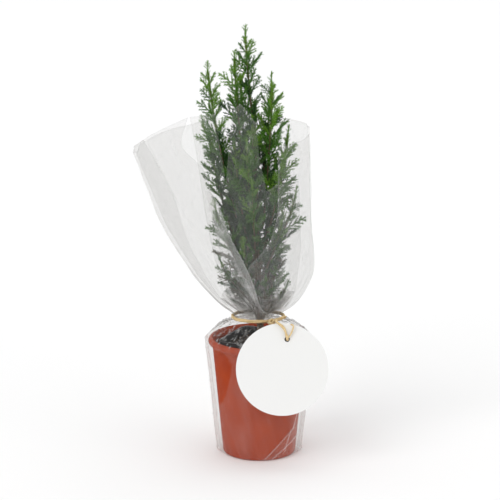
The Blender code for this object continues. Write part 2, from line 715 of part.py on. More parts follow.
def raffia_and_tag(where, finishes):
    """The raffia round the neck of the film, its knot and ends, and the round card tag that hangs from it."""
    left, right, depth = between(WRAP, TIE_Z + RAFFIA_RADIUS)
    room = 2 * FILM_STEP + FILM / 2 + 2 * GAP + RAFFIA_RADIUS
    centre, half = (left + right) / 2, (right - left) / 2 + room
    depth += room
    turns = [2 * math.pi * k / RAFFIA_STEPS for k in range(RAFFIA_STEPS)]
    ring = [Vector((centre + half * math.cos(a), depth * math.sin(a), TIE_Z)) for a in turns]
    tube("raffia_loop", ring, [RAFFIA_RADIUS] * len(ring), where, finishes["raffia"], cyclic=True)

    front_y = -depth * math.sqrt(1 - ((KNOT_SIDE - centre) / half) ** 2)
    knot = Vector((KNOT_SIDE, front_y - RAFFIA_RADIUS - GAP - KNOT_RADIUS, TIE_Z))
    bm = bmesh.new()
    bmesh.ops.create_uvsphere(bm, u_segments=12, v_segments=8, radius=KNOT_RADIUS)
    bmesh.ops.scale(bm, vec=(1.35, 1, 1.05), verts=bm.verts)
    bmesh.ops.translate(bm, vec=knot, verts=bm.verts)
    smooth(object_from(bm, "raffia_knot", where, finishes["raffia"]))

    mid, across, up, out = tag_frame()
    hole = mid + across * TAG_HOLE_SIDE + up * TAG_HOLE_UP
    face = Matrix((across, up, out)).transposed().to_4x4()
    card = disc(TAG_RADIUS, TAG_THICKNESS, TAG_STEPS, Matrix.Translation(mid) @ face)
    tag = object_from(card, "tag", where, finishes["card"])
    hole_disc = disc(TAG_HOLE_RADIUS, 6 * TAG_THICKNESS, 20, Matrix.Translation(hole) @ face)
    punch = object_from(hole_disc, "punch", collection("cutters"), finishes["card"])
    punch.hide_render = True
    punch.display_type = "WIRE"
    cut = tag.modifiers.new("Hole", "BOOLEAN")
    cut.object = punch
    cut.operation = "DIFFERENCE"

    start = knot + Vector((KNOT_RADIUS * 0.9, -KNOT_RADIUS * 0.75, KNOT_RADIUS * 0.5))
    edge = mid + across * TAIL_CROSSING + up * math.sqrt(TAG_RADIUS**2 - TAIL_CROSSING**2)
    behind_edge = edge + up * 2.2 * TAIL_RADIUS - out * 1.2 * TAIL_RADIUS
    begin = start + (behind_edge - start).normalized() * 2 * GAP
    clear = out * (TAG_THICKNESS / 2 + GAP + 1.15 * TAIL_RADIUS)
    route = [
        begin,
        begin.lerp(behind_edge, 0.5) + up * 0.6 * MM,
        behind_edge,
        edge + up * 1.3 * TAIL_RADIUS + clear,
        hole + up * 7 * MM - across * 2.2 * MM + clear,
        hole + up * 2.4 * MM - across * 0.4 * MM + clear,
        hole + out * 1.6 * MM + up * 0.2 * MM,
        hole - out * 1.6 * MM,
        hole + up * 3.2 * MM - out * 2.6 * MM,
        hole + up * 8 * MM - out * 2.4 * MM - across * 1.4 * MM,
    ]
    tube("raffia_tail", route, [TAIL_RADIUS] * len(route), where, finishes["raffia"])
    end = knot + Vector((KNOT_RADIUS * 1.3, 0, KNOT_RADIUS * 0.75))
    short = [end + Vector((x, y, z)) * MM for x, y, z in END_ROUTE]
    tube("raffia_end", short, [TAIL_RADIUS] * len(short), where, finishes["raffia"])


def main():
    clear_scene()
    where = collection("potted_cypress")
    finishes = {
        "terracotta": material("terracotta", (0.52, 0.15, 0.06), 0.75),
        "grow_plastic": material("grow_plastic", (0.02, 0.02, 0.022), 0.45),
        "soil": material("soil", (0.035, 0.025, 0.018), 0.95),
        "bark": material("bark", (0.16, 0.1, 0.06), 0.85),
        "foliage": material("foliage", (0.06, 0.17, 0.035), 0.6),
        "film": material("film", (0.85, 0.87, 0.88), 0.15),
        "raffia": material("raffia", (0.75, 0.58, 0.3), 0.8),
        "card": material("card", (0.9, 0.9, 0.88), 0.7),
    }
    terracotta_pot(where, finishes["terracotta"])
    grow_pot_and_soil(where, finishes)
    plant(where, finishes)
    wrap(where, finishes)
    raffia_and_tag(where, finishes)


main()
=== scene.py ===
import math
import random

import bmesh
import bpy
from mathutils import Matrix, Vector, noise


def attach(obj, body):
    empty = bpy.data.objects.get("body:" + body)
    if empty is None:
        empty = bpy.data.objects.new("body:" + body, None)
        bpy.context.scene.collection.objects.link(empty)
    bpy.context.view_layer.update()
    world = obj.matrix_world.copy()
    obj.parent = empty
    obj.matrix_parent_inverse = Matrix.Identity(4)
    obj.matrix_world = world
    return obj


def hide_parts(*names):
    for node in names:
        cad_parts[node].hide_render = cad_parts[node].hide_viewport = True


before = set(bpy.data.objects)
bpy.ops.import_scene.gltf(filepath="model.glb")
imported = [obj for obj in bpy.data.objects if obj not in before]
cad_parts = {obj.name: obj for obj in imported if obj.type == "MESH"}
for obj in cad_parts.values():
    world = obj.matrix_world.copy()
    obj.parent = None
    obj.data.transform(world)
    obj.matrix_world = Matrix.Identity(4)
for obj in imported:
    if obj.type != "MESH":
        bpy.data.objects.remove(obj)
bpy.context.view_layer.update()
mm = 0.001  # shapes are worked out in millimetres and shrunk to metres when a piece is finished
scene = bpy.context.scene
scene.view_settings.view_transform = "Standard"
print("frame loaded:", len(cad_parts), "nodes")


class Wire:  # an output socket that can be used in sums
    def __init__(self, finish, socket):
        self.finish = finish
        self.socket = socket

    def calc(self, operation, *terms):
        return self.finish.node("ShaderNodeMath", {"operation": operation}, dict(enumerate(terms)))

    def __add__(self, other):
        return self.calc("ADD", self, other)

    def __mul__(self, other):
        return self.calc("MULTIPLY", self, other)

    def __pow__(self, other):
        return self.calc("POWER", self, other)

    __radd__ = __add__
    __rmul__ = __mul__


class Finish:  # a material while its nodes are being laid out
    def __init__(self, name, colour, roughness, **constants):
        self.material = bpy.data.materials.new(name)
        self.material.use_nodes = True
        self.tree = self.material.node_tree
        self.shader = self.tree.nodes["Principled BSDF"]
        self.feed(self.shader.inputs["Base Color"], colour)
        self.feed(self.shader.inputs["Roughness"], roughness)
        for key, value in constants.items():
            self.feed(self.shader.inputs[key.replace("_", " ")], value)

    def feed(self, socket, value):
        if isinstance(value, Wire):
            self.tree.links.new(value.socket, socket)
        elif isinstance(value, tuple) and len(value) == 3 and socket.type == "RGBA":
            socket.default_value = (*value, 1)
        else:
            socket.default_value = value

    def node(self, kind, settings, sockets, output=0):
        made = self.tree.nodes.new(kind)
        for key, value in settings.items():
            setattr(made, key, value)
        for key, value in sockets.items():
            self.feed(made.inputs[key], value)
        return Wire(self, made.outputs[output])

    def place(self, stretch=(1, 1, 1)):
        where = self.node("ShaderNodeTexCoord", {}, {}, 3)
        return self.node("ShaderNodeMapping", {}, {"Vector": where, "Scale": stretch})

    def grain(self, scale, detail=4, rough=0.55, stretch=(1, 1, 1)):
        sockets = {"Vector": self.place(stretch), "Scale": scale, "Detail": detail, "Roughness": rough}
        return self.node("ShaderNodeTexNoise", {}, sockets)

    def blend(self, mask, a, b):
        return self.node("ShaderNodeMix", {"data_type": "RGBA"}, {0: mask, 6: a, 7: b}, 2)

    def steps(self, value, low, high):  # 0 below low, 1 above high
        return self.node("ShaderNodeMapRange", {"clamp": True}, {0: value, 1: low, 2: high})

    def colour(self, value):
        self.feed(self.shader.inputs["Base Color"], value)

    def relief(self, height, strength, distance):
        sockets = {"Height": height, "Strength": strength, "Distance": distance}
        self.feed(self.shader.inputs["Normal"], self.node("ShaderNodeBump", {}, sockets))


def finishPiece(mesh, name, material, stands=(), sharp=None):
    mesh.name = name
    mesh.transform(Matrix.Scale(mm, 4))
    mesh.materials.clear()
    mesh.materials.append(material)
    mesh.shade_smooth()
    if sharp:
        mesh.set_sharp_from_angle(angle=math.radians(sharp))
    piece = bpy.data.objects.new(name, mesh)
    scene.collection.objects.link(piece)
    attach(piece, "root")
    if stands:
        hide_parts(*stands)
    return piece


def meshFrom(bm):
    mesh = bpy.data.meshes.new("mesh")
    bmesh.ops.recalc_face_normals(bm, faces=bm.faces)
    bm.to_mesh(mesh)
    bm.free()
    return mesh


def strands(paths, roundness):  # each path: points, their radii, closed or not
    data = bpy.data.curves.new("strands", "CURVE")
    data.dimensions = "3D"
    data.bevel_depth = 1
    data.bevel_resolution = roundness
    data.use_fill_caps = True
    for points, radii, closed in paths:
        spline = data.splines.new("POLY")
        spline.points.add(len(points) - 1)
        for knot, point, radius in zip(spline.points, points, radii):
            knot.co = (*point, 1)
            knot.radius = radius
        spline.use_cyclic_u = closed
    curve = bpy.data.objects.new("strands", data)
    scene.collection.objects.link(curve)
    mesh = bpy.data.meshes.new_from_object(curve.evaluated_get(bpy.context.evaluated_depsgraph_get()))
    bpy.data.objects.remove(curve)
    return mesh


def joined(placements):  # copies of small meshes, each with its matrix, made into one mesh
    host = bpy.data.objects.new("host", bpy.data.meshes.new("host"))
    copies = [host]
    scene.collection.objects.link(host)
    for mesh, matrix in placements:
        copy = bpy.data.objects.new("copy", mesh)
        copy.matrix_world = matrix
        scene.collection.objects.link(copy)
        copies.append(copy)
    bpy.context.view_layer.update()
    chosen = {"active_object": host, "object": host, "selected_objects": copies}
    with bpy.context.temp_override(**chosen, selected_editable_objects=copies):
        bpy.ops.object.join()
    mesh = host.data.copy()
    bpy.data.objects.remove(host)
    return mesh


def between(stations, height):  # values of a table at a height, along a smooth curve through its rows
    z = min(max(height, stations[0][0]), stations[-1][0])
    last = len(stations) - 1
    k = max(i for i in range(last) if i == 0 or stations[i][0] <= z)
    before, low = stations[max(k - 1, 0)], stations[k]
    high, after = stations[k + 1], stations[min(k + 2, last)]
    span = high[0] - low[0]
    t = (z - low[0]) / span
    values = []
    for p, a, b, q in zip(before[1:], low[1:], high[1:], after[1:]):
        slopeA = span * (b - p) / (high[0] - before[0])
        slopeB = span * (q - a) / (after[0] - low[0])
        rise = (2 * t**3 - 3 * t**2 + 1) * a + (t**3 - 2 * t**2 + t) * slopeA
        values.append(rise + (3 * t**2 - 2 * t**3) * b + (t**3 - t**2) * slopeB)
    return values


def bezier(p0, p1, p2, p3, t):
    s = 1 - t
    return p0 * s**3 + p1 * 3 * s * s * t + p2 * 3 * s * t * t + p3 * t**3


def lengthOf(path):
    return sum((b - a).length for a, b in zip(path, path[1:]))


def pointsAlong(path, count):
    lengths = [0.0]
    for a, b in zip(path, path[1:]):
        lengths.append(lengths[-1] + (b - a).length)
    made, k = [], 0
    for i in range(count):
        goal = lengths[-1] * i / (count - 1)
        while k < len(path) - 2 and lengths[k + 1] < goal:
            k += 1
        made.append(path[k].lerp(path[k + 1], (goal - lengths[k]) / (lengths[k + 1] - lengths[k])))
    return made


def distanceTo(point, path):  # to a list of points joined by straight lines, and the place along it
    best, place = 1e9, 0.0
    for k, (a, b) in enumerate(zip(path, path[1:])):
        line = b - a
        t = min(1.0, max(0.0, (point - a).dot(line) / line.length_squared))
        d = (point - a - line * t).length
        if d < best:
            best, place = d, (k + t) / (len(path) - 1)
    return best, place


# the camera stands where the photograph was taken
view = {
    "distance": 1.55,
    "elevation": math.radians(14.5),
    "lens": 176.7,
    "nearest": 0.05,
    "aim": (-0.0059, 0, 0.1328),
}
camera = bpy.data.objects.new("camera", bpy.data.cameras.new("camera"))
camera.data.lens = view["lens"]
camera.data.clip_start = view["nearest"]
away = Vector((0, -math.cos(view["elevation"]), math.sin(view["elevation"])))
camera.location = Vector(view["aim"]) + away * view["distance"]
camera.rotation_euler = (math.pi / 2 - view["elevation"], 0, 0)
scene.collection.objects.link(camera)
scene.camera = camera

# the tree's frame of shoots, by the rule of the part's source
tree = {
    "trunk": ((1.0, 0.0, 70.85), (0.2, 0.6, 100.0), (-1.2, 0.4, 145.0), (-2.5, 0.0, 196.0)),
    "trunkSteps": 24,
    "footRadius": 2.4,
    "tipRadius": 0.7,
    "clearRadius": 1.9,
    "flare": 1.45,
    "flareShare": 0.07,  # of the trunk's length
    "gap": 0.35,
    "clear": 0.3,
    "boughRadius": 0.95,
    "sprayShortest": 6,
    "leading": {  # tip, and the height where it leaves the trunk
        "leader": ((-9.0, 0.0, 276.0), 196),
        "left_second": ((-15.8, -6.0, 261.0), 138),
        "left_outer": ((-32.6, -3.0, 253.6), 112),
        "right_inner": ((7.6, 6.0, 245.4), 172),
        "right_second": ((8.2, -7.0, 241.5), 150),
        "back_second": ((-12.0, 12.0, 243.0), 128),
        "left_third": ((-31.5, 5.0, 207.0), 104),
        "front_middle": ((-8.0, -17.0, 208.0), 118),
    },
    "crown": (  # height, left, right, depth
        (108, -22, 15, 10.5),
        (121, -24, 25, 14.5),
        (139, -30, 27, 18.0),
        (160, -37, 27, 20.5),
        (180, -35, 22, 22.0),
        (200, -37, 19, 21.5),
        (215, -39, 20, 19.0),
        (232, -40, 14, 16.0),
    ),
    "sideShoots": 25,
    "innerOut": 0.5,
    "tips": (110, 228),
    "forks": (90, 150),
    "forkPower": 1.4,
    "lineSteps": 23,
    "tries": 24,
    "tryStep": 2.3,
    "asideStep": 3,
    "samples": 60,
    "spread": 2.5,
    "goldenAngle": math.radians(137.5),
    "firstAngle": math.radians(12),
}
wrapRows = (  # height, left, right, depth
    (88, -13.4, 11.8, 9.0),
    (91.4, -13.7, 12.1, 9.3),
    (97.5, -21.6, 21.0, 14.2),
    (107, -31.0, 28.2, 19.0),
    (120, -41.0, 33.4, 22.5),
    (147, -57.4, 32.3, 26.5),
    (158, -62.3, 31.9, 27.5),
    (195, -76.0, 31.0, 28.5),
    (212, -82.0, 30.3, 28.5),
    (234, -90.0, 29.0, 28.0),
)
trunkPull = [Vector(v) for v in tree["trunk"]]
trunkLine = [bezier(*trunkPull, k / tree["trunkSteps"]) for k in range(tree["trunkSteps"] + 1)]


def trunkRadius(place):
    flare = 1 + (tree["flare"] - 1) * max(0.0, 1 - place / tree["flareShare"]) ** 2
    return flare * (tree["footRadius"] + (tree["tipRadius"] - tree["footRadius"]) * place)


def shootTips():
    shoots = [(name, Vector(tip), fork) for name, (tip, fork) in tree["leading"].items()]
    low, high = tree["tips"]
    forkLow, forkHigh = tree["forks"]
    for i in range(tree["sideShoots"]):
        share = (i + 0.5) / tree["sideShoots"]
        height = low + (high - low) * share
        left, right, depth = between(tree["crown"], height)
        angle = tree["firstAngle"] + i * tree["goldenAngle"]
        out = tree["innerOut"] if i % 3 == 2 else 1.0  # every third shoot stays inside the crown
        x = (left + right) / 2 + out * (right - left) / 2 * math.cos(angle)
        tip = Vector((x, out * depth * math.sin(angle), height))
        fork = forkLow + (forkHigh - forkLow) * share ** tree["forkPower"]
        shoots.append((f"side_{i + 1:02d}", tip, fork))
    return shoots


def shootLine(tip, fork):
    if fork >= trunkLine[-1].z - tree["gap"]:
        root = trunkLine[-1] + Vector((0, 0, tree["gap"]))
        first = (trunkLine[-1] - trunkLine[-2]).normalized()
    else:
        root = min(trunkLine, key=lambda p: abs(p.z - fork))
        side = Vector((tip.x - root.x, tip.y - root.y, 0)).normalized()
        skin = trunkRadius(distanceTo(root, trunkLine)[1])
        first = (side * 0.65 + Vector((0, 0, 0.76))).normalized()
        root = root + side * (skin + tree["gap"] + tree["boughRadius"])
    towards = (tip - root).normalized()
    last = (towards * 0.5 + Vector((0, 0, 0.5))).normalized()
    end = tip - last * tree["sprayShortest"]
    reach = (end - root).length
    start = root + first * min(3, reach * 0.1)
    bends = start + towards * reach * 0.3, end - last * reach * 0.35
    return [root] + [bezier(start, *bends, end, k / tree["lineSteps"]) for k in range(tree["lineSteps"] + 1)]


def freeShoots():
    lines = {}
    radius = tree["boughRadius"]
    for name, tip, fork in shootTips():
        for attempt in range(3 * tree["tries"]):  # up and down the trunk, then with the tip moved back
            aside, step = divmod(attempt, tree["tries"])
            shift = tree["tryStep"] * ((step + 1) // 2) * (-1 if step % 2 else 1)
            moved = tip + Vector((0, tree["asideStep"] * aside, 0))
            path = shootLine(moved, max(tree["forks"][0], fork + shift))
            samples = pointsAlong(path, tree["samples"])
            clear = all(distanceTo(p, trunkLine)[0] > tree["clearRadius"] + radius for p in samples[4:])
            for k, p in enumerate(samples):
                room = 2 * radius + tree["clear"] + tree["spread"] * min(1.0, 2 * k / len(samples))
                clear = clear and all(distanceTo(p, other)[0] > room for other in lines.values())
            if name == "leader" or clear:
                lines[name] = path
                break
    return lines


shootLines = freeShoots()
print("shoots found:", len(shootLines))

# bark: trunk, boughs and the thin stems inside the foliage
barkSizes = {
    "trunkRings": 90,
    "stemRings": 50,
    "looseRings": 16,
    "stemFoot": 0.95,
    "stemTip": 0.28,
    "looseFoot": 0.6,
    "relief": 0.16,
    "looseStems": 9,
    "dark": (0.075, 0.045, 0.026),
    "light": (0.24, 0.165, 0.1),
    "seed": 7,
}


def makeBark():
    rng = random.Random(barkSizes["seed"])
    rings, stemRings, looseRings = [barkSizes[key] for key in ("trunkRings", "stemRings", "looseRings")]
    wide, thin = barkSizes["stemFoot"], barkSizes["stemTip"]
    paths = [(pointsAlong(trunkLine, rings), [trunkRadius(k / (rings - 1)) for k in range(rings)], False)]
    for path in shootLines.values():
        radii = [wide + (thin - wide) * (k / (stemRings - 1)) ** 0.7 for k in range(stemRings)]
        paths.append((pointsAlong(path, stemRings), radii, False))
    for n in range(barkSizes["looseStems"]):  # bare shoots low in the neck of the wrap
        angle = n * tree["goldenAngle"]
        out = Vector((math.cos(angle), 0.6 * math.sin(angle), 0))
        foot = trunkLine[4 + n % 4] + out * 1.5
        top = foot + out * rng.uniform(5, 8) + Vector((0, 0, rng.uniform(20, 34)))
        bends = foot + out * 3 + Vector((0, 0, 7)), top - Vector((0, 0, 9))
        points = [bezier(foot, *bends, top, k / (looseRings - 1)) for k in range(looseRings)]
        paths.append((points, [barkSizes["looseFoot"] - 0.02 * k for k in range(looseRings)], False))
    mesh = strands(paths, 2)
    for v in mesh.vertices:  # furrows that run along the wood
        rough = noise.noise(Vector((v.co.x * 1.6, v.co.y * 1.6, v.co.z * 0.35)))
        rough += 0.6 * noise.noise(Vector((v.co.x * 3.1, v.co.y * 3.1, v.co.z * 1.4)))
        v.co += v.normal * barkSizes["relief"] * rough
    bark = Finish("bark", (0.16, 0.1, 0.06), 0.85)
    patches = bark.steps(bark.grain(900, 5, 0.6, (1, 1, 0.3)), 0.35, 0.68)
    bark.colour(bark.blend(patches, barkSizes["dark"], barkSizes["light"]))
    bark.relief(bark.grain(2600, 5, 0.6, (1, 1, 0.25)), 0.6, 0.0003)
    wood = [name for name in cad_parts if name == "trunk" or name.startswith("bough_")]
    finishPiece(mesh, "bark", bark.material, wood)


makeBark()
print("bark made")

# foliage: sprays of short needles on the source's shoots, carried to finer shoots
foliage = {
    "pitch": 2.75,
    "angle": math.radians(44),
    "shortest": 3,
    "longest": 16,
    "tipSpray": 6.8,
    "start": 4.2,
    "growth": 0.5,
    "bareTip": 4.5,
    "template": 12,
    "sideTwigs": 7,
    "kinds": 9,
    "clothedKinds": 3,
    "needle": 2.15,
    "needleWidth": 0.28,
    "needleStep": 0.74,
    "needleLean": (33, 52),
    "needleTurn": math.radians(97),
    "twigWidths": (0.24, 0.2),
    "pieceLimit": 170000,
    "room": 1.2,
    "seed": 41,
}
# bright, leaf and deep are lit and shaded copies of the needles' green, painted light and shade; dry is a
# brown
greensAndPaintedShade = {
    "bright": (0.115, 0.26, 0.014),
    "leaf": (0.055, 0.16, 0.01),
    "deep": (0.018, 0.068, 0.007),
    "dry": (0.085, 0.075, 0.028),
}


def addNeedle(bm, base, direction, length, width):
    turn = direction.to_track_quat("Z", "Y").to_matrix().to_4x4()
    stand = Matrix.Translation(base + direction * length / 2) @ turn
    bmesh.ops.create_cone(bm, cap_ends=True, segments=3, radius1=width, radius2=0, depth=length, matrix=stand)


def needleRow(bm, start, end, rng, size, step=foliage["needleStep"]):
    along = end - start
    ahead = along.normalized()
    across = ahead.orthogonal().normalized()
    count = max(3, round(along.length / step))
    turn = rng.uniform(0, math.pi)
    for k in range(count):  # a pair of needles each time, turned against the last pair
        place = start + along * (k + 0.3) / count
        turn += foliage["needleTurn"]
        small = size * (1 - 0.35 * k / count) * rng.uniform(0.8, 1.15)
        small *= 1.5 if rng.random() < 0.14 else 1  # a few stand out
        for half in (0, math.pi):
            out = Matrix.Rotation(turn + half, 3, ahead) @ across
            lean = math.radians(rng.uniform(*foliage["needleLean"]))
            direction = ahead * math.cos(lean) + out * math.sin(lean)
            addNeedle(bm, place, direction, small, foliage["needleWidth"])
    addNeedle(bm, end - ahead * 0.3, ahead, size * 0.7, foliage["needleWidth"])


def sprayTemplate(number):  # a spray that grows along Z, with side twigs left and right
    rng = random.Random(100 + number)
    bm = bmesh.new()
    total = foliage["template"]
    bend = rng.uniform(-1.2, 1.2)
    axis = [Vector((bend * (k / 3) ** 2, 0.5 * bend * (k / 3) ** 2, total * k / 3)) for k in range(4)]
    for a, b in zip(axis, axis[1:]):
        needleRow(bm, a, b, rng, foliage["needle"])
        addNeedle(bm, a, (b - a).normalized(), (b - a).length * 1.25, foliage["twigWidths"][0])
    for k in range(foliage["sideTwigs"]):
        t = 0.12 + 0.115 * k
        side = 1 if k % 2 else -1
        foot = pointsAlong(axis, 41)[round(t * 40)]
        lean = math.radians(rng.uniform(32, 44))
        roll = Matrix.Rotation(rng.uniform(-0.7, 0.7), 3, "Z")
        direction = roll @ Vector((side * math.sin(lean), 0, math.cos(lean)))
        reach = (1.6 + 4.6 * (1 - t)) * rng.uniform(0.8, 1.15)
        needleRow(bm, foot, foot + direction * reach, rng, foliage["needle"] * 0.85)
        addNeedle(bm, foot, direction, reach * 1.1, foliage["twigWidths"][1])
    bmesh.ops.remove_doubles(bm, verts=bm.verts, dist=0.0001)
    return meshFrom(bm)


def clothedTemplate(number):  # a short length of shoot with needles all round it
    rng = random.Random(300 + number)
    bm = bmesh.new()
    needleRow(bm, Vector((0, 0, 0)), Vector((0, 0, 4)), rng, foliage["needle"], 0.55)
    needleRow(bm, Vector((0, 0, 0.2)), Vector((0, 0, 3.8)), rng, foliage["needle"], 0.7)
    bmesh.ops.remove_doubles(bm, verts=bm.verts, dist=0.0001)
    return meshFrom(bm)


def insideWrap(point):
    if point.z > wrapRows[-1][0]:
        return True
    room = foliage["room"]
    left, right, depth = between(wrapRows, point.z)
    across = (point.x - (left + right) / 2) / ((right - left) / 2 - room)
    return across**2 + (point.y / (depth - room)) ** 2 < 1


def toneAndPaintedShadeOf(point, belowTip, rng):  # lighter at the tips, partly the young growth's own colour; lighter high up and far out and darker inside and low down is painted light and shade
    light = 0.55 - 0.011 * belowTip + 0.0035 * (point.z - 170) + rng.uniform(-0.28, 0.28)
    light += 0.012 * (math.hypot(point.x + 5, point.y) - 14)
    if point.z < 128 and rng.random() < 0.3 - 0.004 * (point.z - 95):
        return "dry"
    return "bright" if light > 0.48 else "leaf" if light > 0.1 else "deep"


def makeFoliage():
    sprays = [sprayTemplate(n) for n in range(foliage["kinds"])]
    clothed = [clothedTemplate(n) for n in range(foliage["clothedKinds"])]
    faces = {mesh: sum(len(p.vertices) - 2 for p in mesh.polygons) for mesh in sprays + clothed}
    heaps = {tone: [] for tone in greensAndPaintedShade}
    for number, path in enumerate(shootLines.values()):
        rng = random.Random(foliage["seed"] + number)
        total = lengthOf(path)
        bare = 0.2 * total if total > 62 else 0.1 * total
        steps = int(total / foliage["pitch"])
        points = pointsAlong(path, steps + 1)
        angle = rng.uniform(0, 2 * math.pi)
        for k in range(1, steps + 1):
            ahead = (points[k] - points[k - 1]).normalized()
            out = Matrix.Rotation(angle, 3, ahead) @ ahead.orthogonal().normalized()
            angle += tree["goldenAngle"]
            belowTip = total * (1 - k / steps)
            if total - belowTip < bare:
                continue
            turn = ahead.to_track_quat("Z", "Y").to_matrix().to_4x4()
            spin = Matrix.Rotation(rng.uniform(0, 6.28), 4, "Z")
            full = 1.1 if belowTip < 14 else 0.95  # fuller near the tip
            stand = Matrix.Translation(points[k - 1]) @ turn @ spin @ Matrix.Diagonal((full, full, 1, 1))
            heaps[toneAndPaintedShadeOf(points[k], belowTip, rng)].append((rng.choice(clothed), stand))
            if k < steps and belowTip < foliage["bareTip"]:
                continue
            grown = foliage["start"] + foliage["growth"] * belowTip
            length = min(foliage["longest"], grown) * rng.uniform(0.72, 1.12)
            lean = foliage["angle"] * rng.uniform(0.75, 1.15)
            if k == steps:
                lean, length = 0.0, foliage["tipSpray"]
            direction = (ahead * math.cos(lean) + out * math.sin(lean) + Vector((0, 0, 0.12))).normalized()
            while length > foliage["shortest"] and not insideWrap(points[k] + direction * length):
                length *= 0.8
            if length <= foliage["shortest"]:
                continue
            turn = direction.to_track_quat("Z", "Y").to_matrix().to_4x4()
            spin = Matrix.Rotation(rng.uniform(0, 6.28), 4, "Z")
            long = length / foliage["template"]
            wide = 0.5 + 0.5 * long if k < steps else 0.7
            stand = Matrix.Translation(points[k]) @ turn @ spin @ Matrix.Diagonal((wide, wide, long, 1))
            heaps[toneAndPaintedShadeOf(points[k], belowTip, rng)].append((rng.choice(sprays), stand))
    masses = [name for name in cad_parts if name.startswith("foliage_")]
    triangles = 0
    for tone, heap in heaps.items():
        # one material for each green, the lit and shaded copies among them
        finish = Finish("foliage_" + tone, greensAndPaintedShade[tone], 0.5, Specular_IOR_Level=0.35)
        batch, count, number = [], 0, 1
        for k, (mesh, matrix) in enumerate(heap):
            batch.append((mesh, matrix))
            count += faces[mesh]
            if count > foliage["pieceLimit"] or k == len(heap) - 1:
                name = f"foliage_{tone}_{number}"
                finishPiece(joined(batch), name, finish.material, masses, 25)
                masses = []
                triangles += count
                batch, count, number = [], 0, number + 1
    print("foliage made:", triangles, "triangles")


makeFoliage()

# terracotta pot
pot = {
    "height": 76,
    "base": 23.2,
    "wallTop": 29.8,
    "lip": 32.5,
    "lipRound": 2.4,
    "edge": 1.3,
    "wall": 2.6,
    "floor": 4,
    "wallRings": 12,
    "steps": 96,
    "clay": (0.42, 0.05, 0.008),
    "dark": (0.38, 0.042, 0.006),
    "light": (0.45, 0.056, 0.009),
    "speck": (0.45, 0.1, 0.03),
}


def makePot():
    edge, r = pot["edge"], pot["lipRound"]
    mouth = pot["lip"] - r - edge
    profile = [(0, 0), (pot["base"] - edge, 0), (pot["base"] - 0.4, 0.4), (pot["base"], edge)]
    for k in range(1, pot["wallRings"]):
        t = k / pot["wallRings"]
        profile.append((pot["base"] + (pot["wallTop"] - pot["base"]) * t, edge + (pot["height"] - 6.6) * t))
    profile.append((pot["wallTop"], pot["height"] - 2.3 * r))
    for k in range(9):  # the rolled lip
        a = math.radians(-62 + 19 * k)
        profile.append((pot["lip"] - r + r * math.cos(a), pot["height"] - r + r * math.sin(a)))
    profile += [(mouth, pot["height"] - edge), (mouth - edge, pot["height"] - 5)]
    profile += [(pot["base"] - pot["wall"], pot["floor"]), (0, pot["floor"])]
    bm = bmesh.new()
    verts = [bm.verts.new((r, 0, z)) for r, z in profile]
    edges = [bm.edges.new(pair) for pair in zip(verts, verts[1:])]
    turn = {"cent": (0, 0, 0), "axis": (0, 0, 1), "angle": 2 * math.pi, "steps": pot["steps"]}
    bmesh.ops.spin(bm, geom=verts + edges, use_merge=True, **turn)
    bmesh.ops.remove_doubles(bm, verts=bm.verts, dist=0.001)
    clay = Finish("terracotta", pot["clay"], 0.62, Specular_IOR_Level=0.18)
    cloud = clay.grain(70, 3)
    speck = clay.steps(clay.grain(1500, 2), 0.6, 0.75)
    tint = clay.blend(clay.steps(cloud, 0.3, 0.7), pot["dark"], pot["light"])
    clay.colour(clay.blend(speck * 0.3, tint, pot["speck"]))
    clay.feed(clay.shader.inputs["Roughness"], cloud * 0.3 + 0.45)
    clay.relief(clay.grain(1100, 5) + clay.grain(160, 2) * 2, 0.25, 0.0004)
    finishPiece(meshFrom(bm), "terracotta_pot", clay.material, ["pot"], 50)


makePot()
print("pot made")


def dress(node, finish):  # a better finish on a solid that is kept
    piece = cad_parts[node]
    piece.data.materials.clear()
    piece.data.materials.append(finish.material)


# plastic grow pot and compost
compost = {
    "crumbs": 420,
    "kinds": 5,
    "sizes": (0.35, 1.3),
    "half": 18.5,
    "turn": math.radians(-25.8),
    "top": 70.5,
    "dark": (0.012, 0.008, 0.006),
    "light": (0.075, 0.048, 0.03),
    "seed": 5,
}


def makeCompost():
    plastic = Finish("grow_plastic", (0.014, 0.014, 0.016), 0.32)
    plastic.relief(plastic.grain(500, 2), 0.15, 0.0003)
    dress("grow_pot", plastic)
    earth = Finish("compost", (0.03, 0.02, 0.013), 0.95)
    lumps = earth.steps(earth.grain(900, 5), 0.35, 0.7)
    earth.colour(earth.blend(lumps, compost["dark"], compost["light"]))
    earth.relief(earth.grain(700, 6), 0.9, 0.0012)
    dress("soil", earth)
    rng = random.Random(compost["seed"])
    kinds = []
    for n in range(compost["kinds"]):
        bm = bmesh.new()
        bmesh.ops.create_icosphere(bm, subdivisions=1, radius=1)
        for v in bm.verts:
            v.co *= 1 + 0.5 * noise.noise(v.co * 1.3 + Vector((n * 7, 0, 0)))
        kinds.append(meshFrom(bm))
    spots = []
    square = Matrix.Rotation(compost["turn"], 4, "Z")
    for _ in range(compost["crumbs"]):
        x, y = [rng.uniform(-1, 1) * compost["half"] for _ in range(2)]
        if abs(x) + abs(y) > 1.75 * compost["half"]:  # past the square pot's round corners
            continue
        size = rng.uniform(*compost["sizes"])
        place = square @ Matrix.Translation((x, y, compost["top"] + size * 0.25))
        turn = Matrix.Rotation(rng.uniform(0, 6), 4, "X") @ Matrix.Rotation(rng.uniform(0, 6), 4, "Z")
        spots.append((rng.choice(kinds), place @ turn @ Matrix.Diagonal((size, size * 0.8, size * 0.6, 1))))
    finishPiece(joined(spots), "compost_crumbs", earth.material, (), 30)


makeCompost()
print("compost made")

